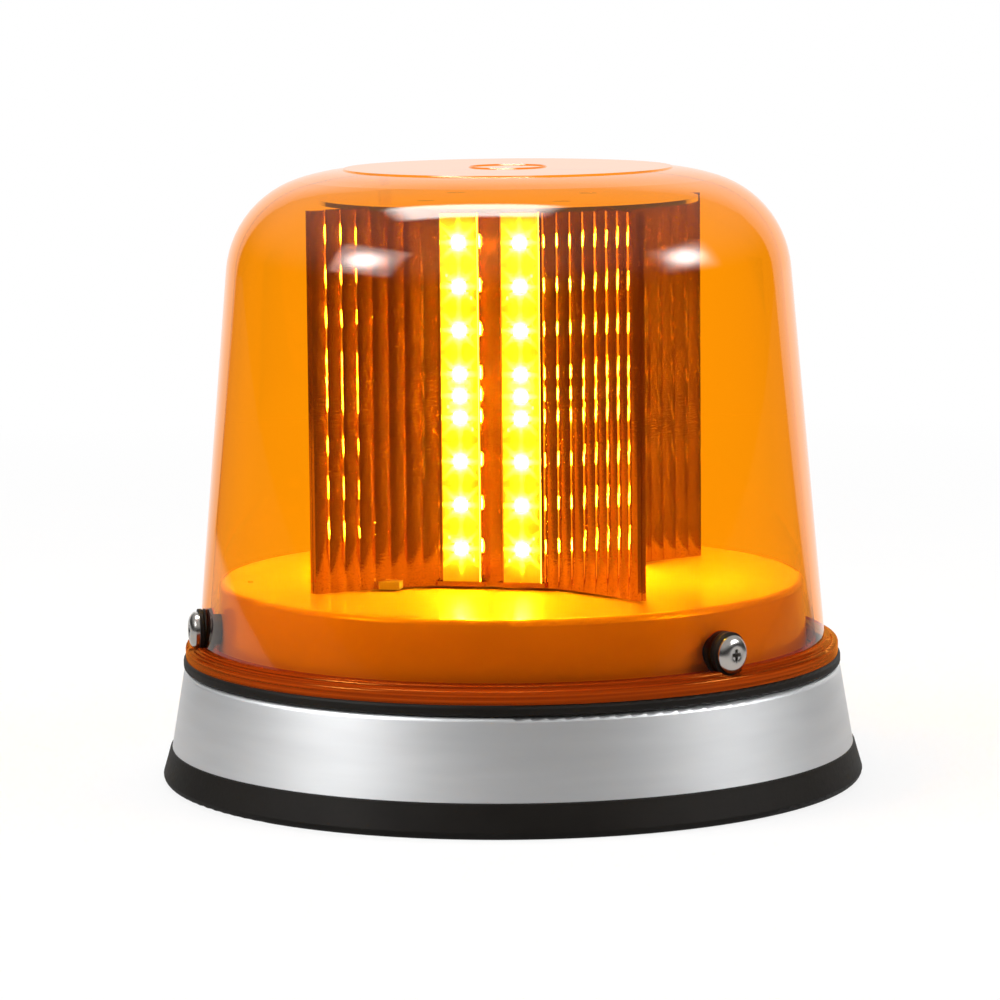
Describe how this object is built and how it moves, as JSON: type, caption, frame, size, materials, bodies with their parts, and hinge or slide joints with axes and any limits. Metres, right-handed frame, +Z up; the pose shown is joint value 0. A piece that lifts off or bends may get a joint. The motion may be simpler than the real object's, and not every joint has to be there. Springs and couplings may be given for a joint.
{
  "type": "rotating beacon",
  "caption": "Amber rotating warning beacon: clear amber dome with side screws over an LED head of fluted trough reflectors, on an aluminium base ring with a rubber foot.",
  "frame": {"origin": "centre of the rubber foot's resting face, on the beacon's axis", "axes": "+Z up along the spindle, -Y towards the front, where the first dome screw lies 41 degrees round to +X"},
  "size_m": [0.1898, 0.1898, 0.165],
  "materials": {
    "black_rubber": "moulded, satin",
    "satin_aluminium": "turned and anodised, satin",
    "cast_aluminium": "die cast",
    "stainless_steel": "bright stainless steel",
    "motor_can": "plated steel can",
    "amber_dome": "transparent amber polycarbonate, glossy",
    "deck_plastic": "moulded, smooth tan plastic",
    "bronze": "sintered",
    "brass": "machined",
    "copper": "polished track",
    "acetal": "moulded, natural acetal",
    "black_plastic": "moulded",
    "carbon": "fine matt",
    "circuit_board": "green solder mask",
    "mirror_plastic": "vacuum metallised, fluted",
    "polished_plate": "polished sheet",
    "led_board": "white solder mask",
    "led": "warm white LED package with a clear lens"
  },
  "bodies": {
    "base": {"foot_gasket": "black_rubber", "base_ring": "satin_aluminium", "base_plate": "cast_aluminium", "cable_grommet": "black_rubber", "deck_screws": "stainless_steel", "dome_gasket": "black_rubber", "dome": "amber_dome", "dome_screws": "stainless_steel", "dome_screw_bushes": "black_rubber", "dome_screw_inserts": "brass", "deck": "deck_plastic", "upper_bearing": "bronze", "lower_bearing": "bronze", "thrust_washer": "acetal", "motor": "motor_can", "motor_bracket": "stainless_steel", "motor_bracket_screws": "stainless_steel", "driver_board": "circuit_board", "driver_board_screws": "stainless_steel", "capacitors": "carbon", "choke": "black_plastic", "terminal_block": "black_plastic", "driver_chips": "carbon", "brush_holder": "black_plastic", "brushes": "carbon"},
    "rotor": {"spindle": "stainless_steel", "drive_gear": "acetal", "spindle_clip": "stainless_steel", "slip_ring_sleeve": "acetal", "slip_rings": "copper", "turntable": "satin_aluminium", "turntable_set_screw": "stainless_steel", "turntable_screws": "stainless_steel", "heat_sink": "satin_aluminium", "top_plate": "polished_plate", "top_plate_screws": "stainless_steel", "reflector_clips": "stainless_steel", "reflector_1": "mirror_plastic", "led_board_1_left": "led_board", "led_board_1_right": "led_board", "leds_1": "led", "reflector_2": "mirror_plastic", "led_board_2_left": "led_board", "led_board_2_right": "led_board", "leds_2": "led", "reflector_3": "mirror_plastic", "led_board_3_left": "led_board", "led_board_3_right": "led_board", "leds_3": "led", "reflector_4": "mirror_plastic", "led_board_4_left": "led_board", "led_board_4_right": "led_board", "leds_4": "led"},
    "motor_rotor": {"motor_shaft": "stainless_steel", "motor_pinion": "brass"}
  },
  "joints": [
    {"name": "head_spin", "type": "hinge", "parent": "base", "child": "rotor", "pos_m": [0, 0, 0.05], "axis": [0, 0, 1], "continuous": true},
    {"name": "motor_spin", "type": "hinge", "parent": "base", "child": "motor_rotor", "pos_m": [0, 0.045, 0.025], "axis": [0, 0, 1], "continuous": true}
  ],
  "couplings": [
    {"joint": "motor_spin", "follows": "head_spin", "ratio": -4}
  ]
}
